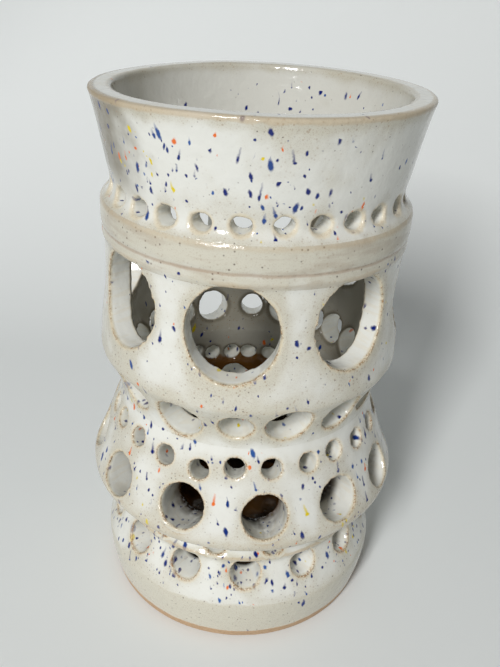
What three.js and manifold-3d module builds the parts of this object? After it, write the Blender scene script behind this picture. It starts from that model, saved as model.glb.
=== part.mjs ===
// A pierced (reticulated) stoneware vase, 201 mm tall, standing on z = 0 with its mouth up.
// The potter threw it as rings of clay, stacked them on a round slab, joined them with slip
// and cut rows of round holes through the walls. Each ring is its own mesh here, and the
// rings meet face to face at flat planes. The holes of a row sit round the axis, and their
// azimuth is counted from the front (-Y) towards the right (+X).
import * as THREE from 'three';
import { mergeVertices } from 'three/addons/utils/BufferGeometryUtils.js';
import Module from 'manifold-3d';

const wasm = await Module();
wasm.setup();

const { lerp, degToRad } = THREE.MathUtils;

// Heights of the rings, in millimetres, from the table up
const SLAB_HEIGHT = 8;
const FOOT_WALL_HEIGHT = 13.5;
const SHOULDER_HEIGHT = 15.7;
const NECK_HEIGHT = 8.8;
const BELLY_UNDER_HEIGHT = 11;
const BELLY_CONE_HEIGHT = 32;
const BARREL_TAPER_HEIGHT = 20;
const BARREL_WALL_HEIGHT = 41.4;
const COIL_HEIGHT = 4.8;
const BAND_HEIGHT = 9.2;
const LEDGE_HEIGHT = 4.6;
const CUP_WALL_HEIGHT = 32;

// Outer radii
const SLAB_RADIUS = 54.4;
const SLAB_TOP_RADIUS = 56;
const FOOT_RADIUS = 57.2;
const NECK_RADIUS = 49.6;
const BELLY_RADIUS = 61.9;
const WAIST_RADIUS = 49.4;
const BARREL_FOOT_RADIUS = 56.4;
const BARREL_RADIUS = 53.7;

// How far the shoulder's top and the bead stand out from the neck
const SHOULDER_TOP_PROUD = 1;
const BEAD_PROUD = 2;

// How far the coil and the band stand out from the barrel, how far the cup's neck draws in
// from it, and how far the rim spreads from that neck
const COIL_PROUD = 0.9;
const BAND_PROUD = 1.1;
const CUP_NECK_INSET = 2.5;
const RIM_FLARE = 5.9;

// Clay thickness. The belly has none of its own: its bore runs straight up from the neck.
const WALL = 8;
const WAIST_WALL = 10.2;
const WINDOW_WALL = 8.9;
const RIM_LIP_WIDTH = 8.2;

// Softened edges and small steps
const EDGE_ROUND = 0.9;
const BEAD_HEIGHT = 2.6;
const RIM_ROUND = 1.1;

// The glaze that pooled on the floor, and the bare margin between it and the foot wall
const POOL_MARGIN = 8;
const POOL_DEPTH = 1.8;
const POOL_EDGE_DEPTH = 0.5;
const POOL_RIM_WIDTH = 5;

// Rows of holes: the diameter, the web of clay left between two holes, the height above the
// bottom of the ring that carries the row, the azimuth of the first hole, and how far the
// hole's outer end is raised, in degrees
const SHOULDER_ROW = { diameter: 10.8, web: 12.4, rise: 24.4, azimuth: 3.4, lean: -8 };
const NECK_ROW = { diameter: 9.6, web: 12.4, rise: 7.2, azimuth: 16, lean: 0 };
const LARGE_ROW = { diameter: 16, web: 13.7, rise: 28.6, azimuth: 8.4, lean: 21 };
const SMALL_ROW = { diameter: 6.7, web: 6.2, rise: 44.5, azimuth: -2.4, lean: 21 };
const WAIST_ROW = { diameter: 17.8, web: 1.2, rise: 10.2, azimuth: -3, lean: -4 };
const WINDOW_ROW = { diameter: 33, web: 8.2, rise: 45.5, azimuth: -5.8, lean: 0 };
const LEDGE_ROW = { diameter: 5.1, web: 6.6, rise: 5, azimuth: -4.6, lean: 0 };

// The waist holes were cut by hand. They narrow to a share of their diameter at the inner
// face, their sizes differ, and each lies off its even place by a share of the spacing. In
// the other rows the holes are straight and evenly spaced. The windows are narrower than
// they are high, and the holes above the ledge are wider.
const WAIST_TAPER_SHARE = 0.74;
const WAIST_SIZE_SHARES = [
  0.67, 0.9, 0.9, 1, 0.9, 0.85, 0.82, 0.74, 0.85, 0.62, 0.9, 0.86, 0.9, 0.98, 0.9, 0.9, 0.95,
];
const WAIST_SLIP_SHARES = [
  0, -0.05, 0.04, 0.06, 0.06, 0, -0.12, -0.34, -0.35, -0.41, -0.25, -0.23, -0.24, -0.23, -0.25,
  -0.26, -0.07,
];
const WINDOW_BREADTH_SHARE = 0.91;
const LEDGE_BREADTH_SHARE = 1.3;
const PLAIN_CUT = { taperShare: 1, breadthShare: 1, sizeShares: [1], slipShares: [0] };
const WAIST_CUT = {
  ...PLAIN_CUT,
  taperShare: WAIST_TAPER_SHARE,
  sizeShares: WAIST_SIZE_SHARES,
  slipShares: WAIST_SLIP_SHARES,
};
const WINDOW_CUT = { ...PLAIN_CUT, breadthShare: WINDOW_BREADTH_SHARE };
const LEDGE_CUT = { ...PLAIN_CUT, breadthShare: LEDGE_BREADTH_SHARE };

// How far a cutter runs past the wall on each side, and the room that it needs for the
// curve of the wall, as a share of its diameter
const CUT_OVERRUN = 6;
const BULGE_SHARE = 0.1;

// Facets: round a ring, and round a hole for each millimetre of its diameter
const RING_SIDES = 40;
const LEAST_HOLE_SIDES = 8;
const MOST_HOLE_SIDES = 18;
const SIDES_PER_MM = 0.6;

// Outlines: pairs of shares, first of the height of a stretch, then of the way from its
// bottom radius to its top radius
const FOOT_SHARES = [[0, 0], [0.35, 0.6], [0.75, 1]];
const FOOT_INSIDE_SHARES = [[0, 0], [0.7, 0.8]];
const SHOULDER_SHARES = [[0.04, 0.08], [1, 1]];
const SHOULDER_INSIDE_SHARES = [[0, 0.37], [0.22, 0.79], [0.5, 0.98], [1, 1]];
const BELLY_UNDER_SHARES = [[0, 0.03], [0.25, 0.42], [0.5, 0.8], [0.8, 0.98], [1, 1]];
const BELLY_CONE_SHARES = [[0.1, 0.15], [0.47, 0.51], [0.85, 0.91], [1, 1]];
const BELLY_CONE_INSIDE_SHARES = [[0, 0], [0.5, 0.15], [0.78, 0.5], [1, 1]];
const BARREL_TAPER_SHARES = [[0, 0], [0.33, 0.18], [0.78, 0.74], [0.92, 0.95], [1, 1]];
const BARREL_TAPER_INSIDE_SHARES = [[0, 0], [0.48, 0.03], [0.65, 0.17], [0.85, 0.41], [1, 0.59]];
const BARREL_WALL_SHARES = [[0.2, 0.14], [0.42, 0.6], [0.6, 0.95], [1, 1]];
const COIL_SHARES = [[0, 0.2], [0.3, 0.95], [0.75, 0.95], [1, 0.3]];
const LEDGE_SHARES = [[0, 0], [0.45, 0.6], [1, 1]];
const CUP_SHARES = [[0.1, 0.05], [0.5, 0.42]];
const CUP_INSIDE_SHARES = [[0.4, 0.32], [0, 0]];

// The heights of the joint planes
const FOOT_Z = SLAB_HEIGHT;
const SHOULDER_Z = FOOT_Z + FOOT_WALL_HEIGHT;
const NECK_Z = SHOULDER_Z + SHOULDER_HEIGHT;
const BELLY_UNDER_Z = NECK_Z + NECK_HEIGHT;
const BELLY_CONE_Z = BELLY_UNDER_Z + BELLY_UNDER_HEIGHT;
const WAIST_Z = BELLY_CONE_Z + BELLY_CONE_HEIGHT;
const BARREL_WALL_Z = WAIST_Z + BARREL_TAPER_HEIGHT;
const COIL_Z = BARREL_WALL_Z + BARREL_WALL_HEIGHT;
const BAND_Z = COIL_Z + COIL_HEIGHT;
const LEDGE_Z = BAND_Z + BAND_HEIGHT;
const CUP_Z = LEDGE_Z + LEDGE_HEIGHT;
const RIM_Z = CUP_Z + CUP_WALL_HEIGHT;

// The radii that follow the neck and the barrel
const SHOULDER_TOP_RADIUS = NECK_RADIUS + SHOULDER_TOP_PROUD;
const BEAD_RADIUS = NECK_RADIUS + BEAD_PROUD;
const COIL_RADIUS = BARREL_RADIUS + COIL_PROUD;
const BAND_RADIUS = BARREL_RADIUS + BAND_PROUD;
const CUP_NECK_RADIUS = BARREL_RADIUS - CUP_NECK_INSET;
const RIM_RADIUS = CUP_NECK_RADIUS + RIM_FLARE;

// The bore at the joint planes, where two rings share their inner edge
const FOOT_BORE = SLAB_TOP_RADIUS - WALL;
const NECK_BORE = NECK_RADIUS - WALL;
const WAIST_BORE = WAIST_RADIUS - WAIST_WALL;
const BARREL_BORE = BARREL_RADIUS - WINDOW_WALL;
const CUP_BORE = CUP_NECK_RADIUS - WALL;
const RIM_BORE = RIM_RADIUS - RIM_LIP_WIDTH;

// A stretch of an outline, as [radius, height] points
function stretch(shares, bottomZ, height, bottomRadius, topRadius) {
  return shares.map(([up, across]) => [
    lerp(bottomRadius, topRadius, across),
    bottomZ + height * up,
  ]);
}

// A solid of revolution: its outline starts and ends on the axis, or closes on itself
function turned(outline) {
  const points = outline.map(([radius, z]) => new THREE.Vector2(radius, z));
  return new THREE.LatheGeometry(points, RING_SIDES).rotateX(Math.PI / 2);
}

// A ring whose outline runs up the outside and down the inside
function ring(outer, inner) {
  return turned([...outer, ...inner, outer[0]]);
}

// The radius of an outline at a height, for points that run upwards
function radiusAt(outline, z) {
  const upper = outline.findIndex((point) => point[1] >= z);
  const [topRadius, topZ] = outline[upper];
  const [lowRadius, lowZ] = outline[upper - 1];
  return lerp(lowRadius, topRadius, (z - lowZ) / (topZ - lowZ));
}

// The cutter of one hole in a wall, along the Y axis, with its wide end outside. It has the
// hole's diameter where it enters the outer face and the taper share of it at the inner one.
function cutter(diameter, wall, cut) {
  const length = wall + diameter * BULGE_SHARE + 2 * CUT_OVERRUN;
  const wantedSides = Math.round(diameter * SIDES_PER_MM);
  const sides = THREE.MathUtils.clamp(wantedSides, LEAST_HOLE_SIDES, MOST_HOLE_SIDES);
  const radiusAtDepth = (depth) => lerp(diameter, diameter * cut.taperShare, depth / wall) / 2;
  const outerRadius = radiusAtDepth(-CUT_OVERRUN);
  const innerRadius = radiusAtDepth(length - CUT_OVERRUN);
  return new THREE.CylinderGeometry(innerRadius, outerRadius, length, sides)
    .scale(cut.breadthShare, 1, 1)
    .translate(0, length / 2 - CUT_OVERRUN, 0);
}

// All the cutters of a row, on a ring with this outer and inner outline, whose bottom plane
// is at bottomZ. The axis of each crosses the outer face at the height of the row.
function rowCutters(row, cut, outer, inner, bottomZ) {
  const z = bottomZ + row.rise;
  const radius = radiusAt(outer, z);
  const wall = radius - radiusAt(inner.toReversed(), z);
  const count = Math.floor((2 * Math.PI * radius) / (row.diameter + row.web));
  const cutters = [];
  for (let i = 0; i < count; i += 1) {
    const diameter = row.diameter * cut.sizeShares[i % cut.sizeShares.length];
    const place = i + cut.slipShares[i % cut.slipShares.length];
    cutters.push(
      cutter(diameter, wall, cut)
        .rotateX(-degToRad(row.lean))
        .translate(0, -radius, z)
        .rotateZ(degToRad(row.azimuth) + (2 * Math.PI * place) / count),
    );
  }
  return cutters;
}

// A closed geometry as a solid that can be cut
function solidOf(geometry) {
  const bare = geometry.clone();
  bare.deleteAttribute('normal');
  bare.deleteAttribute('uv');
  const merged = mergeVertices(bare);
  return new wasm.Manifold(new wasm.Mesh({
    numProp: 3,
    vertProperties: new Float32Array(merged.attributes.position.array),
    triVerts: new Uint32Array(merged.index.array),
  }));
}

// A solid as a geometry again
function geometryOf(solid) {
  const mesh = solid.getMesh();
  const geometry = new THREE.BufferGeometry();
  geometry.setAttribute('position', new THREE.BufferAttribute(mesh.vertProperties, 3));
  geometry.setIndex(new THREE.BufferAttribute(mesh.triVerts, 1));
  geometry.computeVertexNormals();
  return geometry;
}

// A ring with all its holes cut
function pierced(geometry, cutters) {
  const body = cutters.reduce((solid, tool) => solid.subtract(solidOf(tool)), solidOf(geometry));
  return geometryOf(body);
}

const rawClay = new THREE.MeshStandardMaterial({ color: 0xb89470, roughness: 0.85 });
const whiteGlaze = new THREE.MeshStandardMaterial({ color: 0xdcd8d0, roughness: 0.2 });
const thinGlaze = new THREE.MeshStandardMaterial({ color: 0xcfc3b2, roughness: 0.25 });
const amberGlaze = new THREE.MeshStandardMaterial({ color: 0x5e3312, roughness: 0.1 });

const vase = new THREE.Group();

function add(name, geometry, material) {
  const mesh = new THREE.Mesh(geometry, material);
  mesh.name = name;
  vase.add(mesh);
}

// The round slab that the walls stand on
const slabOutline = [
  [0, 0],
  [SLAB_RADIUS - EDGE_ROUND, 0],
  [SLAB_RADIUS, EDGE_ROUND],
  [SLAB_TOP_RADIUS, SLAB_HEIGHT],
  [0, SLAB_HEIGHT],
];
add('base_slab', turned(slabOutline), rawClay);

// The foot ring: an upright wall, an edge, and a shoulder that leans in, pierced by a row
// whose tops are closed off by the bead of the ring above
const footOuter = [
  ...stretch(FOOT_SHARES, FOOT_Z, FOOT_WALL_HEIGHT, SLAB_TOP_RADIUS, FOOT_RADIUS),
  ...stretch(SHOULDER_SHARES, SHOULDER_Z, SHOULDER_HEIGHT, FOOT_RADIUS, SHOULDER_TOP_RADIUS),
];
const footInner = [
  ...stretch(FOOT_INSIDE_SHARES, FOOT_Z, FOOT_WALL_HEIGHT, FOOT_BORE, FOOT_RADIUS - WALL),
  ...stretch(SHOULDER_INSIDE_SHARES, SHOULDER_Z, SHOULDER_HEIGHT, FOOT_RADIUS - WALL, NECK_BORE),
].reverse();
add(
  'foot_ring',
  pierced(
    ring(footOuter, footInner),
    rowCutters(SHOULDER_ROW, PLAIN_CUT, footOuter, footInner, FOOT_Z),
  ),
  whiteGlaze,
);

// The belly ring: a bead and a narrow neck below, an undercut, the widest edge, and a cone
// that leans in to the waist, round a straight bore
const bellyOuter = [
  [BEAD_RADIUS - EDGE_ROUND, NECK_Z],
  [BEAD_RADIUS, NECK_Z + BEAD_HEIGHT / 2],
  [NECK_RADIUS, NECK_Z + BEAD_HEIGHT],
  ...stretch(BELLY_UNDER_SHARES, BELLY_UNDER_Z, BELLY_UNDER_HEIGHT, NECK_RADIUS, BELLY_RADIUS),
  ...stretch(BELLY_CONE_SHARES, BELLY_CONE_Z, BELLY_CONE_HEIGHT, BELLY_RADIUS, WAIST_RADIUS),
];
const bellyInner = [
  [NECK_BORE, NECK_Z],
  ...stretch(BELLY_CONE_INSIDE_SHARES, BELLY_CONE_Z, BELLY_CONE_HEIGHT, NECK_BORE, WAIST_BORE),
].reverse();
add(
  'belly_ring',
  pierced(ring(bellyOuter, bellyInner), [
    ...rowCutters(NECK_ROW, PLAIN_CUT, bellyOuter, bellyInner, NECK_Z),
    ...rowCutters(LARGE_ROW, PLAIN_CUT, bellyOuter, bellyInner, NECK_Z),
    ...rowCutters(SMALL_ROW, PLAIN_CUT, bellyOuter, bellyInner, NECK_Z),
  ]),
  whiteGlaze,
);

// The window barrel: a taper that spreads from the thick waist, and the thinner wall with
// the large windows, whose tops are closed off by the joint coil
const windowWall = stretch(
  BARREL_WALL_SHARES, BARREL_WALL_Z, BARREL_WALL_HEIGHT, BARREL_FOOT_RADIUS, BARREL_RADIUS,
);
const barrelOuter = [
  ...stretch(BARREL_TAPER_SHARES, WAIST_Z, BARREL_TAPER_HEIGHT, WAIST_RADIUS, BARREL_FOOT_RADIUS),
  ...windowWall,
];
const barrelInner = [
  ...stretch(
    BARREL_TAPER_INSIDE_SHARES, WAIST_Z, BARREL_TAPER_HEIGHT,
    WAIST_BORE, BARREL_FOOT_RADIUS - WINDOW_WALL,
  ),
  ...windowWall.map(([radius, z]) => [radius - WINDOW_WALL, z]),
].reverse();
add(
  'window_barrel',
  pierced(ring(barrelOuter, barrelInner), [
    ...rowCutters(WAIST_ROW, WAIST_CUT, barrelOuter, barrelInner, WAIST_Z),
    ...rowCutters(WINDOW_ROW, WINDOW_CUT, barrelOuter, barrelInner, WAIST_Z),
  ]),
  whiteGlaze,
);

// The coil of clay pressed round the joint above the windows
const coilOuter = stretch(COIL_SHARES, COIL_Z, COIL_HEIGHT, BARREL_RADIUS, COIL_RADIUS);
add(
  'joint_coil',
  ring(coilOuter, [[BARREL_BORE, BAND_Z], [BARREL_BORE, COIL_Z]]),
  thinGlaze,
);

// The plain collar band
const bandOuter = [
  [BAND_RADIUS - EDGE_ROUND, BAND_Z],
  [BAND_RADIUS, BAND_Z + EDGE_ROUND],
  [BAND_RADIUS, LEDGE_Z - EDGE_ROUND],
  [BAND_RADIUS - EDGE_ROUND, LEDGE_Z],
];
add(
  'collar_band',
  ring(bandOuter, [[BARREL_BORE, LEDGE_Z], [BARREL_BORE, BAND_Z]]),
  thinGlaze,
);

// The rim cup: a cove that rises from the ledge, a flaring wall and a flat lip
const cupOuter = [
  ...stretch(LEDGE_SHARES, LEDGE_Z, LEDGE_HEIGHT, BAND_RADIUS - EDGE_ROUND, CUP_NECK_RADIUS),
  ...stretch(CUP_SHARES, CUP_Z, CUP_WALL_HEIGHT, CUP_NECK_RADIUS, RIM_RADIUS),
  [RIM_RADIUS, RIM_Z - RIM_ROUND],
  [RIM_RADIUS - RIM_ROUND, RIM_Z],
];
const cupInner = [
  [RIM_BORE + RIM_ROUND, RIM_Z],
  [RIM_BORE, RIM_Z - RIM_ROUND],
  ...stretch(CUP_INSIDE_SHARES, CUP_Z, CUP_WALL_HEIGHT, CUP_BORE, RIM_BORE),
  [BARREL_BORE, LEDGE_Z],
];
add(
  'rim_cup',
  pierced(
    ring(cupOuter, cupInner),
    rowCutters(LEDGE_ROW, LEDGE_CUT, cupOuter, cupInner, LEDGE_Z),
  ),
  whiteGlaze,
);

// The amber glaze that ran down inside and set as a shallow pool on the slab
const poolRadius = FOOT_BORE - POOL_MARGIN;
const poolOutline = [
  [0, FOOT_Z],
  [poolRadius, FOOT_Z],
  [poolRadius, FOOT_Z + POOL_EDGE_DEPTH],
  [poolRadius - POOL_RIM_WIDTH, FOOT_Z + POOL_DEPTH],
  [0, FOOT_Z + POOL_DEPTH],
];
add('floor_glaze_pool', turned(poolOutline), amberGlaze);

export default vase;
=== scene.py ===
# %% [markdown]
# # A pierced stoneware vase
# The real vase is one piece of fired clay, about as tall as a hand is long. The potter threw
# it in rings, stacked the rings on a slab, joined them with slip and cut rows of round holes
# through the walls. A white glaze full of coloured chips then ran over everything.
#
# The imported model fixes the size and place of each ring. This file makes the surface that the
# eye sees: soft glazed edges, hand-cut holes, brown lines where the glaze ran thin, and the
# chips and specks. Every ring is built the way the potter did it: turn, cut, join, glaze.

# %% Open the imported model
import math
from functools import partialmethod
from types import SimpleNamespace

import bmesh
import bpy
import numpy as np
from mathutils import Matrix, Vector
from mathutils.kdtree import KDTree


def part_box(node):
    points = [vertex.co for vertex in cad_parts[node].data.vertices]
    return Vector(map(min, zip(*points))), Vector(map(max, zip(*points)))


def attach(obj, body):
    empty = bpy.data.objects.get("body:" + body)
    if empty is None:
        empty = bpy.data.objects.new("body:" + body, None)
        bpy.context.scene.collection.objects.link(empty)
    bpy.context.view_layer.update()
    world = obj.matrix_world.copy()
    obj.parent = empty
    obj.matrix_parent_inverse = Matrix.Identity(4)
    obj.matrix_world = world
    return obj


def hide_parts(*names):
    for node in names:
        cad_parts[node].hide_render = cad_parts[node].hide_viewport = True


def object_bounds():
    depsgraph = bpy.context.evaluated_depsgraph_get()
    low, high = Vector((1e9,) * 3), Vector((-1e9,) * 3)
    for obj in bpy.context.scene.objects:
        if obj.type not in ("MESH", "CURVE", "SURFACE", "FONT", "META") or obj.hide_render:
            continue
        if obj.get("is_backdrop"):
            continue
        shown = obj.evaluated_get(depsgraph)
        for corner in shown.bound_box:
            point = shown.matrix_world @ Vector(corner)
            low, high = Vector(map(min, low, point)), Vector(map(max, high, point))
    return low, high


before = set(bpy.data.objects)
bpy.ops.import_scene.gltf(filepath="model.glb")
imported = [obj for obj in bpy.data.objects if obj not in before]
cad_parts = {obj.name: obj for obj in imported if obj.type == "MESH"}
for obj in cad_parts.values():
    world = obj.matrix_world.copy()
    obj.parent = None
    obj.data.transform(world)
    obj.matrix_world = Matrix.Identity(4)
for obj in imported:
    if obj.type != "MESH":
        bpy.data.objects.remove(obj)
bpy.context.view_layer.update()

MM = 0.001
RINGS = [
    "base_slab", "foot_ring", "belly_ring", "window_barrel", "joint_coil", "collar_band", "rim_cup",
]
BOTTOM = {name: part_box(name)[0].z for name in RINGS}
TOP = {name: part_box(name)[1].z for name in RINGS}
HEIGHT = TOP["rim_cup"]
print("The vase is", round(HEIGHT / MM), "mm tall, in", len(RINGS), "rings")

# %% [markdown]
# ## A short way to write node trees
# Geometry Nodes and materials are both trees of nodes. Adding each node and link by hand hides
# the idea behind the tree, so a small class wraps one socket. Sums written with it add Math
# nodes, and one method adds any other node. The same class serves the shapes and the glaze.

# %% The socket wrapper
class Wire:
    """One socket of a node tree; Python sums written with it add Math nodes to the tree."""

    def __init__(self, tree, socket=None):
        self.tree = tree
        self.socket = socket

    def node(self, kind, settings=None, values=None, outlet=0):
        """Adds a node: its settings first, then the values or links of its sockets."""
        added = self.tree.nodes.new(kind)
        for name, setting in (settings or {}).items():
            setattr(added, name, setting)
        for name, value in (values or {}).items():
            if isinstance(value, Wire):
                self.tree.links.new(value.socket, added.inputs[name])
            else:
                added.inputs[name].default_value = value
        return Wire(self.tree, added.outputs[outlet] if added.outputs else None)

    def __getitem__(self, name):
        """Another outlet of the same node."""
        return Wire(self.tree, self.socket.node.outputs[name])

    def maths(self, operation, *others):
        return self.node("ShaderNodeMath", {"operation": operation}, dict(enumerate((self, *others))))

    __add__ = __radd__ = partialmethod(maths, "ADD")
    __sub__ = partialmethod(maths, "SUBTRACT")
    __mul__ = __rmul__ = partialmethod(maths, "MULTIPLY")
    __truediv__ = partialmethod(maths, "DIVIDE")
    __pow__ = partialmethod(maths, "POWER")
    __gt__ = partialmethod(maths, "GREATER_THAN")
    __lt__ = partialmethod(maths, "LESS_THAN")

    def __rsub__(self, other):
        return self * -1 + other

    def ease(self, low, high):
        """0 below low, 1 above high, with a soft change between them."""
        settings = {"interpolation_type": "SMOOTHSTEP", "clamp": True}
        span = {"Value": self, "From Min": low, "From Max": high}
        return self.node("ShaderNodeMapRange", settings, span)

    def fade(self, low, high):
        """1 below low, 0 above high."""
        return 1 - self.ease(low, high)


# %% Sums on vectors, and noise, for shapes and glaze alike
MIDDLE_GREY = (0.5, 0.5, 0.5)


def vector_maths(operation, *vectors, outlet=0):
    """A sum on one or two vectors; the outlet Value gives a plain number."""
    settings = {"operation": operation}
    return vectors[0].node("ShaderNodeVectorMath", settings, dict(enumerate(vectors)), outlet)


def scaled(vector, share):
    """A vector made longer or shorter."""
    return vector.node("ShaderNodeVectorMath", {"operation": "SCALE"}, {0: vector, "Scale": share})


def split(vector):
    """The three parts of a vector, or of a colour read as a vector."""
    parts = vector.node("ShaderNodeSeparateXYZ", values={"Vector": vector})
    return parts, parts["Y"], parts["Z"]


def noise(place, scale, detail=2.0, outlet="Fac"):
    values = {"Vector": place, "Scale": scale, "Detail": detail}
    return place.node("ShaderNodeTexNoise", values=values, outlet=outlet)


def drawn_noise(place, scales, detail=2.0):
    """Noise with its own scale on each axis, so that it is drawn out along some of them."""
    return noise(vector_maths("MULTIPLY", place, scales), 1.0, detail)


# %% Short ways to handle objects and meshes
def put(name, data):
    """Makes an object of some data and puts it in the scene."""
    thing = bpy.data.objects.new(name, data)
    bpy.context.scene.collection.objects.link(thing)
    return thing


def shaped(thing):
    """The mesh that an object shows once its modifiers have run."""
    graph = bpy.context.evaluated_depsgraph_get()
    return bpy.data.meshes.new_from_object(thing.evaluated_get(graph))


def shade_smooth(mesh):
    mesh.polygons.foreach_set("use_smooth", np.ones(len(mesh.polygons), bool))


def add_field(mesh, name, values):
    """Keeps one number on every point of a mesh."""
    mesh.attributes.new(name, "FLOAT", "POINT").data.foreach_set("value", values)


def listed(items, what, width=1, kind=float):
    """One property of many points, edges or corners, as an array with a row for each."""
    values = np.empty(len(items) * width, kind)
    items.foreach_get(what, values)
    return values.reshape(-1, width)


# %% [markdown]
# ## Turning a ring of clay
# A thrown ring is an outline turned round an axis. The outline is a closed line of points,
# radius and height, and Geometry Nodes sweeps it round a tiny circle. The tree keeps the
# number of sides as a named input. Points of the outline are joined by smooth Catmull-Rom
# stretches, worked out in Python, so a few points give a round form.

# %% Smooth outlines
CURVE_STEPS = 4


def flowing(points):
    """A smooth line through the points, as an array of radius and height in millimetres."""
    knots = np.array([points[0], *points, points[-1]], float)
    line = []
    for before, start, end, after in zip(knots, knots[1:], knots[2:], knots[3:]):
        for step in range(CURVE_STEPS):
            t = step / CURVE_STEPS
            line.append(
                0.5 * (2 * start + (end - before) * t
                       + (2 * before - 5 * start + 4 * end - after) * t ** 2
                       + (3 * start - before - 3 * end + after) * t ** 3)
            )
    line.append(knots[-1])
    return np.array(line)


# Outer and inner outlines in millimetres: radius, and height above the ring's own bottom
OUTSIDE = {
    "foot_ring": [
        (56.0, 0), (56.7, 4), (57.1, 9), (57.0, 12), (56.2, 13.9), (54.6, 17.6), (52.4, 23.6),
        (50.6, 29.2),
    ],
    "belly_ring": [
        (50.6, 0), (51.5, 0.9), (51.3, 2.0), (50.1, 3.0), (49.6, 4.4), (49.7, 7.2), (50.8, 9.4),
        (54.6, 11.6), (59.0, 13.8), (61.3, 16.4), (61.7, 19.4), (60.9, 22.0), (58.4, 27.4),
        (55.6, 34.8), (52.6, 42.8), (50.6, 47.8), (49.4, 51.8),
    ],
    "window_barrel": [
        (49.4, 0), (49.7, 2.5), (50.8, 7), (52.6, 11.5), (54.7, 15.6), (56.1, 18.2), (56.5, 20),
        (56.3, 24), (55.8, 30), (54.9, 36.5), (54.1, 43), (53.8, 49), (53.7, 61.4),
    ],
    "joint_coil": [(53.7, 0), (54.2, 0.6), (54.6, 2.0), (54.5, 3.4), (54.0, 4.4), (53.7, 4.8)],
    "collar_band": [(53.7, 0), (54.4, 0.5), (54.8, 1.6), (54.8, 7.6), (54.5, 8.7), (53.9, 9.2)],
    "rim_cup": [
        (53.9, 0), (53.0, 1.1), (51.8, 2.6), (51.2, 4.8), (51.4, 7.8), (52.3, 12.5), (53.5, 19.3),
        (55.0, 27.6), (56.5, 34.1), (57.0, 35.5), (56.6, 36.3), (55.7, 36.6),
    ],
}
INSIDE = {
    "foot_ring": [
        (41.6, 29.2), (41.5, 22), (42.6, 18), (45.4, 14.5), (48.0, 11), (48.8, 8), (48.2, 3),
        (47.8, 0),
    ],
    "belly_ring": [
        (39.2, 51.8), (39.3, 50), (39.8, 47), (40.6, 43), (41.1, 38), (41.3, 24.2), (41.5, 11.2),
        (41.6, 0),
    ],
    "window_barrel": [
        (44.8, 61.4), (44.9, 43), (45.6, 37), (46.6, 30), (46.3, 26), (44.8, 21.5), (42.6, 17),
        (40.6, 13), (39.4, 9), (39.1, 4.5), (39.2, 0),
    ],
    "joint_coil": [(44.8, 4.8), (44.8, 0)],
    "collar_band": [(44.8, 9.2), (44.8, 0)],
    "rim_cup": [
        (50.4, 36.6), (49.3, 36.3), (48.8, 35.4), (48.5, 33), (46.8, 24.6), (45.1, 15.2),
        (43.6, 7.6), (43.2, 4.4), (44.0, 1.6), (44.8, 0),
    ],
}
print("Outlines for", len(OUTSIDE), "rings, with", sum(map(len, OUTSIDE.values())), "outer points")

# %% The tree that turns an outline
TURN_SIDES = 240
SEED_CIRCLE = 0.01 * MM


def new_tree(name, numbers, counts=()):
    """A Geometry Nodes tree with inputs for sizes, for whole numbers and for the clay."""
    tree = bpy.data.node_groups.new(name, "GeometryNodeTree")
    for way in ("INPUT", "OUTPUT"):
        tree.interface.new_socket("Geometry", in_out=way, socket_type="NodeSocketGeometry")
    kinds = {**dict.fromkeys(counts, "NodeSocketInt"), **dict.fromkeys(numbers, "NodeSocketFloat")}
    for label, kind in {**kinds, "Clay": "NodeSocketMaterial"}.items():
        tree.interface.new_socket(label, in_out="INPUT", socket_type=kind)
    return tree, Wire(tree).node("NodeGroupInput")


def close_tree(shape, given):
    """Every tree ends the same way: real geometry with the clay on it."""
    real = shape.node("GeometryNodeRealizeInstances", values={"Geometry": shape})
    clay = {"Geometry": real, "Material": given["Clay"]}
    dressed = real.node("GeometryNodeSetMaterial", values=clay)
    dressed.node("NodeGroupOutput", values={"Geometry": dressed})


def turning_tree():
    """Sweeps an outline round the axis."""
    tree, given = new_tree("turn an outline", (), counts=("Sides",))
    outline = given.node("GeometryNodeMeshToCurve", values={"Mesh": given["Geometry"]})
    circle = given.node(
        "GeometryNodeCurvePrimitiveCircle",
        values={"Resolution": given["Sides"], "Radius": SEED_CIRCLE},
    )
    level = given.node("GeometryNodeSetCurveNormal", {"mode": "Z_UP"}, {"Curve": circle})
    ring = given.node("GeometryNodeCurveToMesh", values={"Curve": level, "Profile Curve": outline})
    close_tree(ring, given)
    return tree


wet_clay = bpy.data.materials.new("wet clay")


def grow(name, start_mesh, tree, sizes):
    """Runs a tree on a mesh and returns the result as a plain mesh of wet clay."""
    carrier = put(name, start_mesh)
    modifier = carrier.modifiers.new(name, "NODES")
    modifier.node_group = tree
    inputs = {**sizes, "Clay": wet_clay}
    for item in tree.interface.items_tree:
        if item.in_out == "INPUT" and item.name in inputs:
            modifier[item.identifier] = inputs[item.name]
    mesh = shaped(carrier)
    mesh.name = name
    carrier.modifiers.clear()
    bpy.data.objects.remove(carrier)
    return mesh


TURN = turning_tree()

# %% Turn the rings, each a little into its neighbours, as clay is pressed together
LUTING = 0.4
SAME_SPOT = 1e-6


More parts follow.
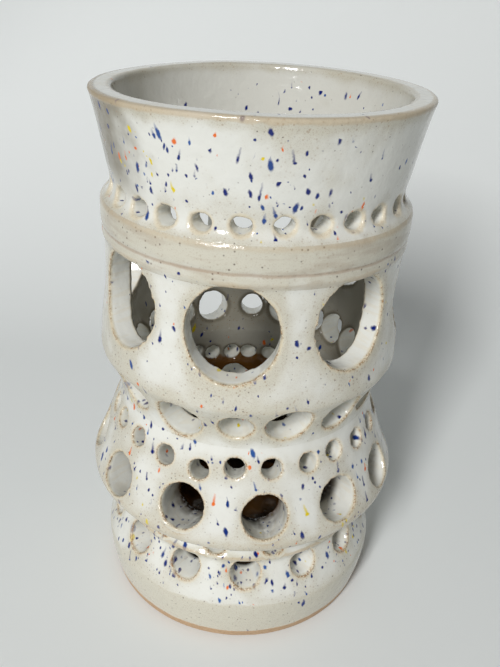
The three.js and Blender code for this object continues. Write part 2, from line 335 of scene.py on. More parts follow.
def outline_mesh(name):
    """The closed outline of a ring; the sweep turns height down, so height goes in as minus."""
    bottom = BOTTOM[name] / MM
    outer, inner = flowing(OUTSIDE[name]), flowing(INSIDE[name])
    low, high = outer[0, 1], outer[-1, 1]
    pressed_top = LUTING if name != "rim_cup" else 0.0
    ends = [
        [(outer[0, 0], low - LUTING)], outer, [(outer[-1, 0], high + pressed_top)],
        [(inner[0, 0], high + pressed_top)], inner, [(inner[-1, 0], low - LUTING)],
    ]
    points = np.concatenate([np.array(part) for part in ends])
    keep = np.ones(len(points), bool)
    keep[1:] = np.linalg.norm(np.diff(points, axis=0), axis=1) > SAME_SPOT
    points = points[keep][::-1]
    count = len(points)
    mesh = bpy.data.meshes.new(name + "_outline")
    verts = [(radius * MM, -(z + bottom) * MM, 0) for radius, z in points]
    mesh.from_pydata(verts, [(i, (i + 1) % count) for i in range(count)], [])
    return mesh


turned = {
    name: grow(name + "_turned", outline_mesh(name), TURN, {"Sides": TURN_SIDES})
    for name in OUTSIDE
}
for name, mesh in turned.items():
    print(name, "turned with", len(mesh.vertices), "points")

# %% [markdown]
# ## Cutting the holes
# The potter pressed round cutters through the soft wall, row by row, judging the spacing by
# eye. Here each hole starts as a mark, a lone point that carries its own turn, height and
# size. One tree of nodes puts a tapered cutter on every mark, turns it to face the wall and
# roughens it a little, so that no two holes are quite alike. A Boolean modifier cuts them out.

# %% Marks for a row of holes
def radius_at(name, rise):
    """The outer radius of a ring at a height above its own bottom, both in millimetres."""
    line = flowing(OUTSIDE[name])
    return float(np.interp(rise, line[:, 1], line[:, 0]))


def marks_mesh(row, seed):
    """One point for each hole, with its turn in radians, its height and its width in metres."""
    turns = np.array(row["turns"], float)
    count = len(turns)
    rng = np.random.default_rng(seed)
    turns = turns + rng.normal(0, row["turn_slip"], count)
    lifts = rng.normal(0, row["lift_slip"], count)
    for place, lift in row["lifts"].items():
        lifts[place] = lift
    shares = np.resize(row["size_shares"], count)
    widths = row["width"] * shares * rng.normal(1, row["size_slip"], count)
    radius = radius_at(row["ring"], row["rise"]) * MM
    height = BOTTOM[row["ring"]] + (row["rise"] + lifts) * MM
    angles = np.radians(turns)
    mesh = bpy.data.meshes.new(row["name"])
    spots = np.stack([radius * np.sin(angles), -radius * np.cos(angles), height], 1)
    mesh.from_pydata(spots.tolist(), [], [])
    add_field(mesh, "turn", angles)
    add_field(mesh, "width", widths * MM)
    return mesh


def even(count, first):
    """Turns that share a full turn evenly."""
    return [first + 360 / count * place for place in range(count)]


def row(name, ring, turns, width, rise, **rest):
    """A row of holes: sizes in millimetres, turns in degrees from the front to the right."""
    usual = {
        "lean": 0.0, "narrowing": 0.96, "broad": 1.0, "tall": 1.0, "size_shares": [1.0],
        "size_slip": 0.015, "turn_slip": 0.15, "lift_slip": 0.15, "lifts": {},
    }
    return {"name": name, "ring": ring, "turns": turns, "width": width, "rise": rise, **usual, **rest}


# The rows were spaced by eye: holes drift off their even places, and crowd at the back
SHOULDER_TURNS = [3.9, 29.8, 54.0, *even(14, 3)[3:12], 311.8, 337.9]
SHOULDER_SIZES = [1.0, 0.9, 1.0, 0.95, 1.02, 0.94, 1.0, 0.97, 1.04, 0.95, 1.0, 0.94, 1.06, 0.97]
SHOULDER_LIFTS = {0: -0.2, 1: 0.3, 2: 0.5, 12: -0.9, 13: -0.3}
LARGE_TURNS = [9.1, 38.9, 66.6, *even(12, 8)[3:10], 307.6, 339.2]
LARGE_LIFTS = {0: -0.4, 1: -0.6, 2: -1.5, 10: -2.4, 11: 0.1}
SMALL_TURNS = [-2.8, 12.3, 27.2, 40.4, *even(25, -2.6)[4:12], 166.3, 179.6, 190, 202.5]
SMALL_TURNS += [*even(25, -2.6)[15:21], 298.0, 312.6, 328.3, 343.4]
SMALL_LIFTS = {3: 0.9, 12: -2, 13: -2.5, 14: -2.5, 15: -2, 23: -0.7, 24: -1.2, 25: -2.3}
WAIST_TURNS = [-2.8, 17.4, 40.7, 62, 83, 103, 121.5, 138, 159, 178.8, 203.5, 225, 246, 267.5, 288]
WAIST_TURNS += [309.2, 334.6]
WAIST_SIZES = [0.67, 0.92, 0.9, 1.0, 0.9, 0.85, 0.82, 0.74, 0.85, 0.62, 0.9, 0.86, 0.9, 1.0, 0.9]
WAIST_SIZES += [0.9, 0.97]
WAIST_LIFTS = {0: -0.7, 1: 0.0, 2: -0.7, 16: -1.9}
LEDGE_TURNS = [-4.7, 9.4, 22.5, 35.5, 47.8, *even(27, -4.7)[5:24], 315.4, 328.4, 341.7]
LEDGE_LIFTS = {0: -0.2, 22: -0.8, 23: -0.9, 24: -0.9, 25: -0.8, 26: -0.5}

ROWS = [
    row("shoulder_holes", "foot_ring", SHOULDER_TURNS, 11, 24.4, lean=-8, size_shares=SHOULDER_SIZES,
        lifts=SHOULDER_LIFTS),
    row("neck_holes", "belly_ring", even(14, 16), 9.6, 7.2),
    row("large_holes", "belly_ring", LARGE_TURNS, 16, 28.8, lean=21, lifts=LARGE_LIFTS),
    row("small_holes", "belly_ring", SMALL_TURNS, 6.7, 44.6, lean=21, lifts=SMALL_LIFTS),
    row("waist_holes", "window_barrel", WAIST_TURNS, 18.8, 10.4, lean=-4, narrowing=0.6, tall=0.93,
        size_shares=WAIST_SIZES, lifts=WAIST_LIFTS),
    row("windows", "window_barrel", even(8, -5.8), 33, 45.4, broad=0.91, lifts={1: 1.0, 7: 1.2}),
    row("ledge_holes", "rim_cup", LEDGE_TURNS, 6.6, 4.9, tall=0.78, size_slip=0.05, turn_slip=0.1,
        lifts=LEDGE_LIFTS),
]
print(sum(len(one["turns"]) for one in ROWS), "holes in", len(ROWS), "rows")

# %% The tree that puts a cutter on every mark
CUTTER = {"Length": 30 * MM, "Overrun": 6 * MM, "Wobble": 0.5 * MM}
CUTTER_SIDES = 40
CUTTER_RINGS = 8
WOBBLE_SCALE = 160.0


def field(given, name):
    """Reads a number that the mesh of a tree keeps on its points."""
    return given.node("GeometryNodeInputNamedAttribute", {"data_type": "FLOAT"}, {"Name": name})


def cutter_tree():
    """Puts a tapered cutter on every mark, facing the wall."""
    tree, given = new_tree("cutters on marks", [*CUTTER, "Lean", "Narrowing", "Broad", "Tall"])

    # A cutter of unit width, its wide end outside the wall
    wide_end = 0.5
    cone = given.node(
        "GeometryNodeMeshCone",
        values={
            "Vertices": CUTTER_SIDES, "Side Segments": CUTTER_RINGS, "Radius Bottom": wide_end,
            "Radius Top": given["Narrowing"] * wide_end, "Depth": given["Length"],
        },
    )
    drop = given.node("ShaderNodeCombineXYZ", values={"Z": given["Overrun"] * -1})
    backed = cone.node("GeometryNodeTransform", values={"Geometry": cone, "Translation": drop})

    # Turned about the upright axis to face its mark, and leant as the wall leans
    tip = given["Lean"] * -1 - math.pi / 2
    angles = given.node("ShaderNodeCombineXYZ", values={"X": tip, "Z": field(given, "turn")})
    facing = given.node("FunctionNodeEulerToRotation", values={"Euler": angles})
    width = field(given, "width")
    spans = {"X": width * given["Broad"], "Y": width * given["Tall"], "Z": 1.0}
    placed = given.node(
        "GeometryNodeInstanceOnPoints",
        values={
            "Points": given["Geometry"], "Instance": backed, "Rotation": facing,
            "Scale": given.node("ShaderNodeCombineXYZ", values=spans),
        },
    )

    # An uneven edge, as a hand leaves it
    real = placed.node("GeometryNodeRealizeInstances", values={"Geometry": placed})
    waver = {"Scale": WOBBLE_SCALE, "Detail": 1.0}
    drift = given.node("ShaderNodeTexNoise", values=waver, outlet="Color")
    centred = vector_maths("SUBTRACT", drift, MIDDLE_GREY)
    shift = scaled(centred, given["Wobble"])
    rough = real.node("GeometryNodeSetPosition", values={"Geometry": real, "Offset": shift})
    close_tree(rough, given)
    return tree


CUTTERS = cutter_tree()

# %% Cut every row out of its ring
pierced = {name: put(name + "_pierced", mesh) for name, mesh in turned.items()}


def carve(body, operation, tool):
    """The mesh of a body once a tool has been cut out of it, or has kept only what lies in it."""
    modifier = body.modifiers.new("carve", "BOOLEAN")
    modifier.operation = operation
    modifier.solver = "MANIFOLD"
    modifier.object = tool
    mesh = shaped(body)
    body.modifiers.clear()
    bpy.data.objects.remove(tool)
    return mesh


for seed, one in enumerate(ROWS):
    sizes = {
        **CUTTER, "Lean": math.radians(one["lean"]), "Narrowing": one["narrowing"],
        "Broad": one["broad"], "Tall": one["tall"],
    }
    cutters = put(one["name"], grow(one["name"], marks_mesh(one, seed), CUTTERS, sizes))
    ring = pierced[one["ring"]]
    ring.data = carve(ring, "DIFFERENCE", cutters)
    print(one["name"], "cut:", len(one["turns"]), "holes, with", len(ring.data.polygons), "faces")

# %% The edges that the cutters left, as points along them
EDGE_TURN = math.radians(38)
EDGE_STEP = 0.4 * MM
JOINT_MARGIN = 0.7 * MM


def edge_points(mesh, low, high):
    """Points along every sharp edge of a ring that isn't at one of its joints."""
    clay = bmesh.new()
    clay.from_mesh(mesh)
    spots = []
    for edge in clay.edges:
        start, end = (corner.co.copy() for corner in edge.verts)
        middle = (start.z + end.z) / 2
        at_joint = not low + JOINT_MARGIN < middle < high - JOINT_MARGIN
        if at_joint or edge.calc_face_angle(0) < EDGE_TURN:
            continue
        steps = math.ceil((end - start).length / EDGE_STEP)
        spots += [start.lerp(end, step / steps) for step in range(steps)]
    clay.free()
    return spots


cut_edge = []
for name, ring in pierced.items():
    cut_edge += edge_points(ring.data, BOTTOM[name], TOP[name])
near_cut = KDTree(len(cut_edge))
for place, spot in enumerate(cut_edge):
    near_cut.insert(spot, place)
near_cut.balance()
print(len(cut_edge), "points on the edges of the holes")

# %% [markdown]
# ## Joining and softening the clay
# Slip and glaze hide every joint: on the real vase a ring runs into the next with a small
# soft crease, and every cut edge is rounded. Rings, slab and slip are therefore made one body
# with a voxel remesh, which is what a skin of glaze does, and then smoothed a little. The
# body is sliced at the joint planes again further on, so each ring stays a piece of its own.

# %% The slab that the walls stand on
SLAB_OUTSIDE = [
    (0, 0), (53.2, 0), (54.2, 0.5), (54.7, 1.5), (55.3, 4.5), (56.0, 8.0), (47.2, 8.0),
    (46.4, 7.5), (0, 7.5),
]


def disc_mesh(name, outline):
    """A turned solid whose outline starts and ends on the axis, in millimetres."""
    mesh = bpy.data.meshes.new(name)
    clay = bmesh.new()
    angles = np.linspace(0, 2 * math.pi, TURN_SIDES, endpoint=False)
    rings = []
    for radius, z in outline:
        if radius == 0:
            rings.append([clay.verts.new((0, 0, z * MM))] * TURN_SIDES)
            continue
        spots = zip(radius * MM * np.cos(angles), radius * MM * np.sin(angles))
        rings.append([clay.verts.new((x, y, z * MM)) for x, y in spots])
    for low, high in zip(rings, rings[1:]):
        for i in range(TURN_SIDES):
            after = (i + 1) % TURN_SIDES
            clay.faces.new(list(dict.fromkeys((low[i], low[after], high[after], high[i]))))
    bmesh.ops.recalc_face_normals(clay, faces=clay.faces)
    clay.to_mesh(mesh)
    shade_smooth(mesh)
    return mesh


# %% One skin over all the rings
VOXEL = 0.85 * MM
SOFTENING = 0.5
SOFTENING_ROUNDS = 5


def one_skin(meshes):
    """Joins meshes, remeshes them as one body and smooths it."""
    joined = bmesh.new()
    for mesh in meshes:
        joined.from_mesh(mesh)
    body_mesh = bpy.data.meshes.new("clay_body")
    joined.to_mesh(body_mesh)
    body = put("clay_body", body_mesh)
    remesh = body.modifiers.new("skin", "REMESH")
    remesh.mode = "VOXEL"
    remesh.voxel_size = VOXEL
    remesh.adaptivity = 0
    smooth = body.modifiers.new("soft edges", "SMOOTH")
    smooth.factor = SOFTENING
    smooth.iterations = SOFTENING_ROUNDS
    mesh = shaped(body)
    bpy.data.objects.remove(body)
    return mesh


slab = disc_mesh("base_slab_turned", SLAB_OUTSIDE)
skin = one_skin([slab, *(ring.data for ring in pierced.values())])
for ring in pierced.values():
    bpy.data.objects.remove(ring)
print("One skin with", len(skin.vertices), "points and", len(skin.polygons), "faces")

# %% [markdown]
# ## Where glaze is thick and where it is thin
# Molten glaze pulls away from every sharp edge and gathers in every hollow. A mesh can tell
# which is which: average each point with its neighbours a few times, and a point on an edge
# sinks while a point in a hollow rises. A few rounds find the cut edges, and many rounds find
# the broad swells of the form. Both results are kept on the points for the glaze to read.

# %% Averaging over neighbours
PULL = 0.8
FINE_ROUNDS = 6
BROAD_ROUNDS = 100
SHARPNESS_ROUNDS = 2
FULLNESS_ROUNDS = 12


def averaged(values, edges, rounds):
    """Pulls each value towards the mean of its neighbours, a number of times."""
    here = np.concatenate([edges[:, 0], edges[:, 1]])
    there = np.concatenate([edges[:, 1], edges[:, 0]])
    neighbours = np.bincount(here, minlength=len(values))
    columns = list(values.T)
    for _ in range(rounds):
        means = [np.bincount(here, one[there], len(one)) / neighbours for one in columns]
        columns = [one + PULL * (mean - one) for one, mean in zip(columns, means)]
    return np.stack(columns, 1)


def sunk(averages, rounds):
    """How far the averages lie below the skin, in millimetres, evened out a little."""
    below = -np.einsum("ij,ij->i", averages - places, normals) / MM
    return averaged(below[:, None], edges, rounds)[:, 0]


places = listed(skin.vertices, "co", 3)
normals = listed(skin.vertices, "normal", 3)
edges = listed(skin.edges, "vertices", 2, int)
fine = averaged(places, edges, FINE_ROUNDS)
sharpness = sunk(fine, SHARPNESS_ROUNDS)
fullness = sunk(averaged(fine, edges, BROAD_ROUNDS), FULLNESS_ROUNDS)
print("Sharpness from", sharpness.min().round(2), "to", sharpness.max().round(2), "mm")
print("Fullness from", fullness.min().round(2), "to", fullness.max().round(2), "mm")

# %% How deep a point lies in the wall, from 0 outside to 1 on the inner face
def wall_radius(outlines, heights):
    """The radius of the whole wall at some heights in millimetres, outside or inside."""
    stacked = [flowing(line) + [0, BOTTOM[name] / MM] for name, line in outlines.items()]
    wall = np.concatenate(stacked)
    wall = wall[np.argsort(wall[:, 1])]
    return np.interp(heights, wall[:, 1], wall[:, 0])


FAR_FROM_HOLES = 8.0
radii = np.hypot(places[:, 0], places[:, 1]) / MM
heights = places[:, 2] / MM
outer, inner = wall_radius(OUTSIDE, heights), wall_radius(INSIDE, heights)
depth = np.clip((outer - radii) / (outer - inner), 0, 1)
cut_distance = np.array([near_cut.find(place)[2] for place in places]) / MM
fields = {
    "sharp": sharpness, "full": fullness, "depth": depth,
    "cut": np.minimum(cut_distance, FAR_FROM_HOLES),
}
for name, values in fields.items():
    add_field(skin, name, values)
print("Points within 1 mm of a hole's edge:", int((cut_distance < 1).sum()))

# %% [markdown]
# ## The potter's hand
# A thrown wall carries faint rings from the fingers and broad swells from the hand, and its
# cut edges crumble. All three are noise that moves the skin inwards along its normal, never
# outwards, so the vase keeps its measured size. The rings are the same noise with its height
# squeezed, and the crumbling reads how near a point lies to a cut edge. Stacked rings are
# never quite true either: the upper half leans a hair to the right, and the rim has sunk
# a little at its left.

# %% Swells and throwing rings
HAND = {
    "Swell": 0.26 * MM, "Ringing": 0.12 * MM, "Crumble": 0.3 * MM, "Sway": 0.6 * MM,
    "Sinking": 1.0 * MM,
}
SWELL_SCALE = 45.0
RINGING_SCALE = (14.0, 14.0, 330.0)
CRUMBLE_SCALE = 420.0
CRUMBLE_REACH = (0.3, 2.0)
CRUMBLE_SPOTS = (0.66, 0.38)
SWAY_HEIGHTS = (0.08, 0.19)
SINKING_SIDE = (0.012, 0.056)
SINKING_HEIGHTS = (0.168, 0.2)


def hand_tree():
    """Moves the skin by a hair, as the fingers, the wheel and the kiln did."""
    tree, given = new_tree("the hand of the potter", HAND)
    place = given.node("GeometryNodeInputPosition")

    # Swells, throwing rings and crumbled edges go inwards along the normal
    swell = noise(place, SWELL_SCALE) - 1
    rings = drawn_noise(place, RINGING_SCALE) - 1
    grit = noise(place, CRUMBLE_SCALE, 1.0).ease(*CRUMBLE_SPOTS) * -1
    edge = field(given, "cut").fade(*CRUMBLE_REACH)
    inwards = swell * given["Swell"] + rings * given["Ringing"]
    inwards = inwards + grit * edge * given["Crumble"]
    shift = scaled(given.node("GeometryNodeInputNormal"), inwards)

    # The lean to the right, and the low left side of the rim
    side, _, height = split(place)
    leant = height.ease(*SWAY_HEIGHTS) * given["Sway"]
    low = (side * -1).ease(*SINKING_SIDE) * height.ease(*SINKING_HEIGHTS) * given["Sinking"]
    untrue = side.node("ShaderNodeCombineXYZ", values={"X": leant, "Z": low * -1})
    offset = {"Geometry": given["Geometry"], "Offset": vector_maths("ADD", shift, untrue)}
    close_tree(given.node("GeometryNodeSetPosition", values=offset), given)
    return tree


skin = grow("skin", skin, hand_tree(), HAND)
normals = listed(skin.vertices, "normal", 3)
smooth_normal = skin.attributes.new("smooth_normal", "FLOAT_VECTOR", "POINT")
smooth_normal.data.foreach_set("vector", normals.ravel())
print("The hand has shaped", len(skin.vertices), "points")

# %% [markdown]
# ## Slicing the rings apart
# The joints lie where the potter stacked one ring on the next. A tall box that reaches from
# one joint plane to the next is intersected with the skin, which leaves each ring closed at
# its joints. Normals are carried over from the whole skin, so that light passes over a joint
# without a break.

# %% Slice at the joint planes
SAW_WIDTH = 0.2
SPILL = 1 * MM


def saw(name, low, high):
    """A square block that reaches from one height to another."""
    block = bpy.data.meshes.new(name)
    mill = bmesh.new()
    bmesh.ops.create_cube(mill, size=1)
    spread = Matrix.Diagonal((SAW_WIDTH, SAW_WIDTH, high - low, 1))
    raised = Matrix.Translation((0, 0, (low + high) / 2))
    bmesh.ops.transform(mill, verts=mill.verts, matrix=raised @ spread)
    mill.to_mesh(block)
    return put(name, block)


def slice_ring(name):
    """The part of the skin between the joints of one ring."""
    low = BOTTOM[name] if name != "base_slab" else -SPILL
    high = TOP[name] if name != "rim_cup" else HEIGHT + SPILL
    whole = put(name + "_whole", skin)
    mesh = carve(whole, "INTERSECT", saw(name + "_saw", low, high))
    bpy.data.objects.remove(whole)
    mesh.name = name + "_glazed"
    return mesh


slices = {name: slice_ring(name) for name in RINGS}
for name, mesh in slices.items():
    print(name, "sliced:", sum(len(face.vertices) - 2 for face in mesh.polygons), "triangles")

# %% Give the points along each slice the fields and normals that the skin has there
PLANE_SLACK = 1e-6
FLAT = 0.999

# The normal kept on a point of the skin is 1 long, and on a point that the saw made it is 0
KNOWN_LENGTH = 0.5


def fill_new_points(values, links):
    """Gives each point that the saw made the mean of its neighbours from the skin."""
    known = np.linalg.norm(values[:, :3], axis=1) > KNOWN_LENGTH
    both = np.concatenate([links, links[:, ::-1]])
    both = both[known[both[:, 1]] & ~known[both[:, 0]]]
    totals = np.zeros_like(values)
    np.add.at(totals, both[:, 0], values[both[:, 1]])
    shares = np.bincount(both[:, 0], minlength=len(values))
    new = ~known & (shares > 0)
    values[new] = totals[new] / shares[new, None]


def heal(mesh, low, high):
    """Carries fields and normals over a slice, and keeps its joint faces flat."""
    kept = mesh.attributes
    columns = [listed(kept["smooth_normal"].data, "vector", 3)]
    columns += [listed(kept[name].data, "value") for name in fields]
    values = np.concatenate(columns, 1)
    fill_new_points(values, listed(mesh.edges, "vertices", 2, int))
    for place, name in enumerate(fields):
        kept[name].data.foreach_set("value", values[:, 3 + place])
    lengths = np.linalg.norm(values[:, :3], axis=1)
    flow = values[:, :3] / np.maximum(lengths, KNOWN_LENGTH)[:, None]
    corner_normals = flow[listed(mesh.loops, "vertex_index", kind=int)[:, 0]]
    heights = listed(mesh.vertices, "co", 3)[:, 2]
    level = (abs(heights - low) < PLANE_SLACK) | (abs(heights - high) < PLANE_SLACK)
    for face in mesh.polygons:
        if abs(face.normal.z) > FLAT and level[list(face.vertices)].all():
            corner_normals[face.loop_start:face.loop_start + face.loop_total] = face.normal
    kept.remove(kept["smooth_normal"])
    shade_smooth(mesh)
    mesh.normals_split_custom_set(corner_normals.tolist())


for name, mesh in slices.items():
    heal(mesh, BOTTOM[name], TOP[name])
print("Fields and normals carried over to", len(slices), "slices")

# %% [markdown]
# ## The glaze
# One glaze covers the vase, and it changes with its thickness. Thick in hollows it is a cool
# white. On full forms it thins to a warm grey that lets iron specks through, and on edges it
# is gone, which leaves toasted clay. Chips of coloured glass sit in it: most are cobalt blue,
# some are yellow or orange, and many slid a little as they melted and left a fading tail.
# All of this is written as sums on Object coordinates and on the fields kept on the points.
# Reaches, heights and sizes have names; a bare number in a sum is the strength of that term.

# %% Colours as the eye names them, turned to the linear values a shader needs
def linear(level):
    """The light that a screen gives off for a level from 0 to 255, by the sRGB rule."""
    share = level / 255
    return share / 12.92 if share <= 0.04045 else ((share + 0.055) / 1.055) ** 2.4


def colour(red, green, blue):
    """A colour with its levels from 0 to 255, as on a screen."""
    return (linear(red), linear(green), linear(blue), 1.0)


THICK_WHITE = colour(230, 230, 223)
THIN_WARM = colour(208, 204, 188)
# Painted shade for the inner wall
INNER_PAINTED_SHADE = colour(158, 154, 140)
# Partly thin glaze, partly painted shade on the cup's left side
SIDE_GREY_AND_SHADE = colour(138, 131, 114)
CREAM_EDGE = colour(222, 208, 176)
TOASTED_EDGE = colour(164, 120, 74)
RAW_CLAY = colour(204, 174, 140)
DARK_CLAY = colour(172, 138, 104)
IRON = colour(62, 40, 32)
SOFT_IRON = colour(164, 142, 118)
COBALT = colour(2, 26, 108)
PALE_COBALT = colour(52, 98, 164)
YELLOW = colour(224, 202, 24)
ORANGE = colour(232, 112, 40)
AMBER = colour(98, 64, 26)
DARK_AMBER_AND_SHADE = colour(28, 19, 10)
CREASE_BROWN = colour(160, 118, 84)
LIP_BROWN = colour(176, 150, 118)
RING_BROWN_AND_SHADE = colour(92, 82, 60)


def mixed(amount, base, top):
    """The base colour, covered by the top colour as far as the amount says."""
    # A Mix node takes its two colours at sockets 6 and 7, and gives a colour at outlet 2
    sockets = {0: amount, 6: base, 7: top}
    settings = {"data_type": "RGBA", "clamp_factor": True}
    return amount.node("ShaderNodeMix", settings, sockets, outlet=2)


# %% Masks that the glaze is made of
def cells(place, scale, outlet):
    """A pattern of cells, one point in each."""
    values = {"Vector": place, "Scale": scale}
    return place.node("ShaderNodeTexVoronoi", values=values, outlet=outlet)


def dots(place, scale, size, rare):
    """Round dots, one in each cell whose random number is above a limit."""
    pattern = cells(place, scale, "Distance")
    return pattern.fade(*size) * (split(pattern["Color"])[0] > rare)


def swing(place, scale, detail):
    """Noise that swings about zero."""
    return noise(place, scale, detail) - 0.5


def redrawn(draw, shuffle):
    """A new random number from 0 to 1, out of one in use already; any shuffle above 3 serves."""
    return (draw * shuffle).maths("FRACT")


# %% How a material starts and ends
GLASS_IOR = 1.52


def new_material(name):
    """An empty material, and the place of each point of the object that wears it."""
    material = bpy.data.materials.new(name)
    material.use_nodes = True
    material.node_tree.nodes.clear()
    return material, Wire(material.node_tree).node("ShaderNodeTexCoord", outlet="Object")


def bumped(height):
    """A bump whose height is in metres."""
    values = {"Height": height, "Strength": 1.0, "Distance": 1.0}
    return height.node("ShaderNodeBump", values=values)


def close_material(base, coat):
    """Every material ends the same way: one surface, in its base colour."""
    values = {"Base Color": base, **coat}
    shader = base.node("ShaderNodeBsdfPrincipled", values=values, outlet="BSDF")
    shader.node("ShaderNodeOutputMaterial", values={"Surface": shader})


# %% What the glaze reads at each point of the wall
CLOUD_SCALE = 0.035
PATCH_SCALE = 0.12
GRAIN_SCALE = 1.3
INSIDE_DEPTHS = (0.86, 0.97)
TUNNEL_DEPTHS = (0.06, 0.2)


def read_wall(place_m):
    """Places in millimetres, the fields of the skin, and noise of three sizes."""
    place = scaled(place_m, 1 / MM)
    wall = SimpleNamespace(place=place, height=split(place)[2])
    wall.outward = vector_maths("NORMALIZE", vector_maths("MULTIPLY", place, (1, 1, 0)))
    wall.right, wall.back, _ = split(wall.outward)
    for name in fields:
        read = place.node("ShaderNodeAttribute", {"attribute_name": name}, outlet="Fac")
        setattr(wall, name, read)
    wall.cloud = swing(place, CLOUD_SCALE, 3.0)
    wall.patch = swing(place, PATCH_SCALE, 3.0)
    wall.grain = noise(place, GRAIN_SCALE, 3.0)
    wall.inside = wall.depth.ease(*INSIDE_DEPTHS)
    wall.tunnel = wall.depth.ease(*TUNNEL_DEPTHS) * (1 - wall.inside)
    return wall


# %% Thick in hollows, thin on full forms and on the foot; painted shade inside and on the cup's left
FULL_FORMS = (0.0, 1.4)
FULL_SHARE = 0.7
CLOUD_SHARE = 1.5
PATCH_SHARE = 0.9
THIN_FORMS = (0.0, 0.9)
FOOT_LINE = (19.8, 21.4)
FOOT_LINE_WAVER = 3
FOOT_THINNESS = 0.95
INSIDE_SHADE = 0.3
LOW_INSIDE_SHADE = 0.5
LOW_INSIDE = (150.0, 162.0)
LEFT_SIDE = (0.55, 0.88)
LEFT_WAVER = 0.3
LEFT_HEIGHTS = (168, 180)
LEFT_DEPTHS = (0.1, 0.3)


def glaze_coat(wall, thinness):
    """The plain glaze, how thin it lies, how far that is the foot's doing, and painted shade."""
    swollen = wall.full.ease(*FULL_FORMS) * FULL_SHARE + wall.cloud * CLOUD_SHARE
    swollen = swollen + wall.patch * PATCH_SHARE + thinness
    dipped = wall.height + wall.patch * FOOT_LINE_WAVER
    on_foot = dipped.fade(*FOOT_LINE) * FOOT_THINNESS
    thin = swollen.ease(*THIN_FORMS).maths("MAXIMUM", on_foot) * (1 - wall.tunnel)
    base = mixed(thin, THICK_WHITE, THIN_WARM)
    # Painted shade: the inner wall is greyed, more so low down, where little light reaches
    low = wall.height.fade(*LOW_INSIDE)
    base = mixed(wall.inside * (INSIDE_SHADE + LOW_INSIDE_SHADE * low), base, INNER_PAINTED_SHADE)

    # The upper left side of the cup is darker: partly thinner grey glaze, partly painted shade where
    # the wall turns from the lamp
    leftward = (wall.right * -1 + wall.patch * LEFT_WAVER).ease(*LEFT_SIDE)
    grey = leftward * wall.height.ease(*LEFT_HEIGHTS) * wall.depth.fade(*LEFT_DEPTHS)
    return mixed(grey, base, SIDE_GREY_AND_SHADE), thin, on_foot


# %% Iron in the clay: a sandy grain, soft freckles and dark specks
SAND_SCALE = 2.6
SAND_GRAINS = (0.5, 0.72)
SAND_SHARE = 0.42
FRECKLE_SCALE = 0.75
FRECKLE_SIZE = (0.1, 0.34)
FRECKLE_LIMIT = 0.55
SPECK_SCALE = 0.62
SPECK_SIZE = (0.08, 0.2)
SPECK_LIMIT = 0.93
DRAG_SCALES = (0.06, 0.06, 0.34)
DRAG_MARKS = (0.46, 0.66)
DRAG_SHARE = 0.3
CREASE_WIDTH = (0.2, 0.9)
CREASE_WAVER = 0.8
CREASE_SHARE = 0.4


def with_iron(base, wall, thin, on_foot, banded):
    """Iron shows through thin glaze. Banded glaze has fewer spots, and marks of the brush."""
    sand = noise(wall.place, SAND_SCALE).ease(*SAND_GRAINS) * thin
    base = mixed(sand * (SAND_SHARE - banded * 0.2), base, SOFT_IRON)
    freckles = dots(wall.place, FRECKLE_SCALE, FRECKLE_SIZE, FRECKLE_LIMIT)
    shown = freckles * (thin * 0.62 + 0.05) * (1 - on_foot) * (1 - banded * 0.5)
    base = mixed(shown, base, SOFT_IRON)
    limit = SPECK_LIMIT + banded * 0.2 - thin * 0.33
    core, rim = SPECK_SIZE
    specks = dots(wall.place, SPECK_SCALE, (core, rim + banded * 0.1), limit)
    base = mixed(specks * (0.3 + thin * 0.45), base, IRON)
    drag = drawn_noise(wall.place, DRAG_SCALES, 3.0).ease(*DRAG_MARKS)
    base = mixed(drag * banded * DRAG_SHARE, base, SOFT_IRON)

    # A brown crease where the band stands on the coil
    off_joint = wall.height - BOTTOM["collar_band"] / MM + wall.patch * CREASE_WAVER
    crease = off_joint.maths("ABSOLUTE").fade(*CREASE_WIDTH)
    return mixed(crease * CREASE_SHARE, base, CREASE_BROWN), specks


# %% Chips of coloured glass
LARGE_CHIPS = {"cell": (3.9, 5.4), "least": 0.37, "most": 0.86, "stretch": 1.5, "tails": 13.0}
SMALL_CHIPS = {"cell": (2.7, 3.7), "least": 0.25, "most": 0.5, "stretch": 1.0, "tails": 4.0}
JITTER = 0.7
JITTER_SCALE = 0.9
SIZE_POWER = 1.5
SLANT = 0.8
INTO_WALL = 0.22
TUNNEL_INTO_WALL = 0.35
CORE_EDGE = (0.62, 1.35)
TAIL_START = 0.38
TAIL_WIDTH = 0.8
TAIL_TAPER = 0.7
TAIL_EDGE = (-0.3, 0.25)
TAIL_FADE = (-0.1, 1.0)
TAIL_STRENGTH = 0.95
SHORTEST_TAIL = 0.2


